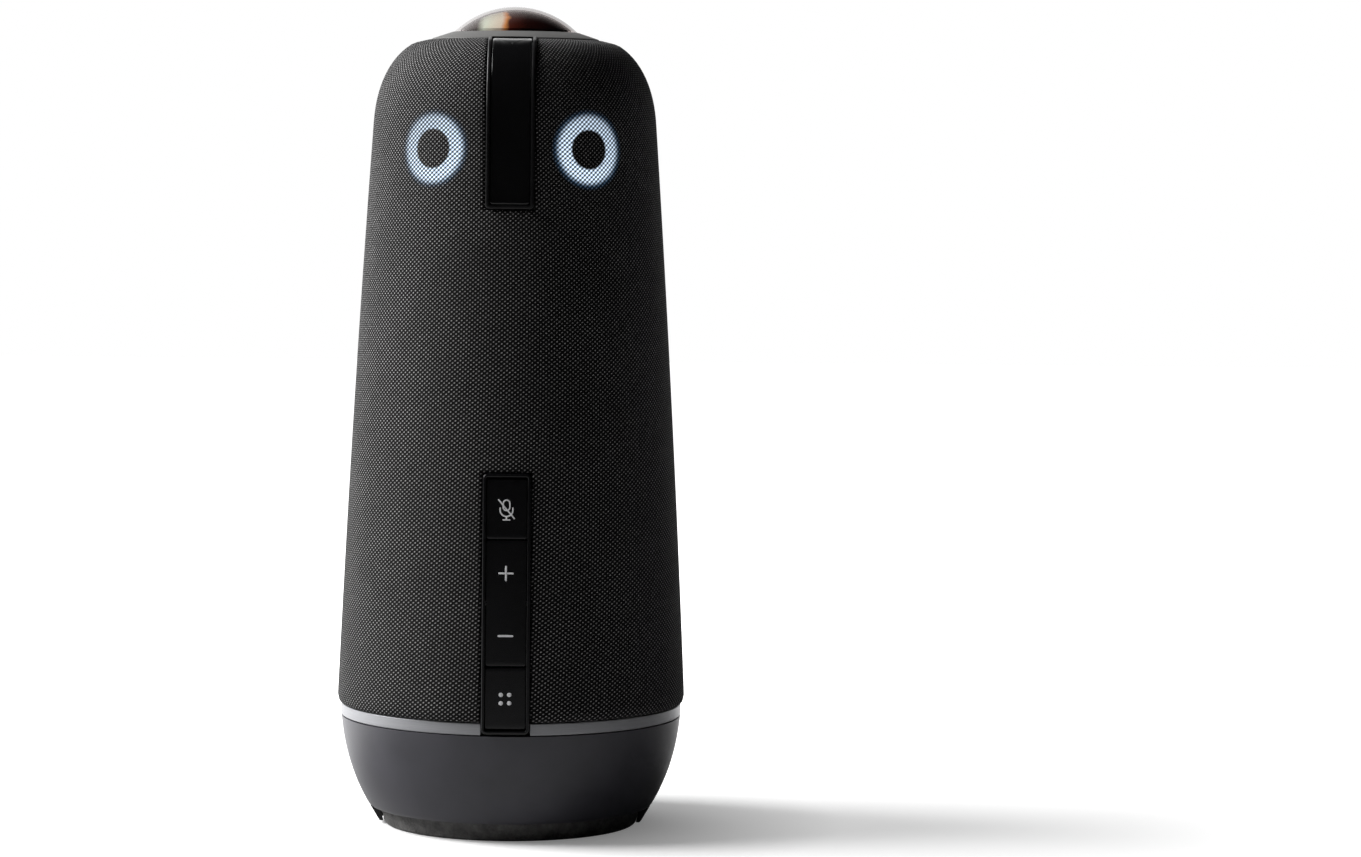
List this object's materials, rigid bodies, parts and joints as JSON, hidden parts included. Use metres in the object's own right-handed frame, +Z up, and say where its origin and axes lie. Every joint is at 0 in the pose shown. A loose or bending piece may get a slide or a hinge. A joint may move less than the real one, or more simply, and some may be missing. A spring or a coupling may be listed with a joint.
{
  "type": "conference speakerphone",
  "caption": "Tall cloth-covered conference speakerphone with a domed panoramic camera, lit eye rings, a glossy front badge, a key strip and a weighted bowl base.",
  "frame": {"origin": "centre of the rubber foot's underside, on the desk", "axes": "+Z up along the tower; the key strip and the badge face -Y"},
  "size_m": [0.114, 0.115, 0.268],
  "materials": {
    "sleeve_cloth": "coarse open plain weave of near-black yarn with light grey flecks",
    "black_plastic": "fine moulded texture, black",
    "satin_black_plastic": "smooth satin black",
    "gloss_black_plastic": "polished black",
    "slate_plastic": "soft-touch slate grey",
    "trim_metal": "satin silver-grey",
    "dome_glass": "clear polished dome with a faint warm coating",
    "coated_glass": "dark lens with an anti-reflection coating that shines amber and green",
    "lit_opal": "opal light guide, lit cool white",
    "foot_rubber": "pebbled near-black rubber",
    "soft_rubber": "thin matte rubber",
    "silicone": "translucent grey silicone",
    "steel": "zinc-plated steel",
    "brass": "turned brass",
    "black_aluminium": "black anodised",
    "circuit_board": "green solder mask with mounted parts",
    "ferrite": "dark sintered ferrite",
    "cone_paper": "pressed fibre cone",
    "amber_film": "amber polyimide film and woven damper cloth"
  },
  "bodies": {
    "housing": {"fabric_sleeve": "sleeve_cloth", "upper_housing": "black_plastic", "beak_frame": "satin_black_plastic", "beak_plate": "gloss_black_plastic", "button_bezel": "satin_black_plastic", "rocker_pin": "steel", "mute_dome": "silicone", "volume_up_dome": "silicone", "volume_down_dome": "silicone", "link_dome": "silicone", "button_board": "circuit_board", "eye_ring_left": "lit_opal", "eye_ring_right": "lit_opal", "eye_board_left": "circuit_board", "eye_board_right": "circuit_board", "trim_ring": "trim_metal", "speaker_frame_right": "steel", "speaker_magnet_right": "ferrite", "speaker_surround_right": "soft_rubber", "speaker_spider_right": "amber_film", "speaker_frame_rear": "steel", "speaker_magnet_rear": "ferrite", "speaker_surround_rear": "soft_rubber", "speaker_spider_rear": "amber_film", "speaker_frame_left": "steel", "speaker_magnet_left": "ferrite", "speaker_surround_left": "soft_rubber", "speaker_spider_left": "amber_film", "lens_dome": "dome_glass", "lens_element": "coated_glass", "top_ring": "satin_black_plastic", "lens_barrel": "black_aluminium", "camera_bracket": "steel", "sensor_board": "circuit_board", "mic_board": "circuit_board", "camera_ribbon": "amber_film", "inner_chassis": "black_plastic", "main_board": "circuit_board", "heat_sink": "black_aluminium", "base_housing": "slate_plastic", "lock_plate": "steel", "port_bay": "black_plastic", "usb_port": "steel", "power_jack": "black_plastic", "port_board": "circuit_board", "ballast_plate": "steel", "bottom_plate": "black_plastic", "tripod_insert": "brass", "base_screw_1": "steel", "base_screw_2": "steel", "base_screw_3": "steel", "base_screw_4": "steel", "foot_ring": "foot_rubber", "rear_skirt": "black_plastic"},
    "mute_button": {"mute_key": "gloss_black_plastic"},
    "volume_button": {"volume_rocker": "gloss_black_plastic"},
    "link_button": {"link_key": "gloss_black_plastic"},
    "cone_right": {"speaker_cone_right": "cone_paper"},
    "cone_rear": {"speaker_cone_rear": "cone_paper"},
    "cone_left": {"speaker_cone_left": "cone_paper"}
  },
  "joints": [
    {"name": "mute_press", "type": "slide", "parent": "housing", "child": "mute_button", "axis": [0, 0.9987, -0.0507], "range_m": [0, 0.0008], "stiffness_N_per_m": 800, "springref_m": -0.0002, "deforming": ["mute_dome"]},
    {"name": "volume_rock", "type": "hinge", "parent": "housing", "child": "volume_button", "pos_m": [0, -0.05135, 0.0779], "axis": [1, 0, 0], "range_deg": [-2.5, 2.5], "stiffness_Nm_per_rad": 0.3, "deforming": ["volume_up_dome", "volume_down_dome"]},
    {"name": "link_press", "type": "slide", "parent": "housing", "child": "link_button", "axis": [0, 0.9987, -0.0507], "range_m": [0, 0.0008], "stiffness_N_per_m": 800, "springref_m": -0.0002, "deforming": ["link_dome"]},
    {"name": "cone_drive_right", "type": "slide", "parent": "housing", "child": "cone_right", "axis": [0.866, -0.5, 0], "range_m": [-0.0012, 0.0012], "stiffness_N_per_m": 900, "deforming": ["speaker_surround_right", "speaker_spider_right"]},
    {"name": "cone_drive_rear", "type": "slide", "parent": "housing", "child": "cone_rear", "axis": [0, 1, 0], "range_m": [-0.0012, 0.0012], "stiffness_N_per_m": 900, "deforming": ["speaker_surround_rear", "speaker_spider_rear"]},
    {"name": "cone_drive_left", "type": "slide", "parent": "housing", "child": "cone_left", "axis": [-0.866, -0.5, 0], "range_m": [-0.0012, 0.0012], "stiffness_N_per_m": 900, "deforming": ["speaker_surround_left", "speaker_spider_left"]}
  ]
}
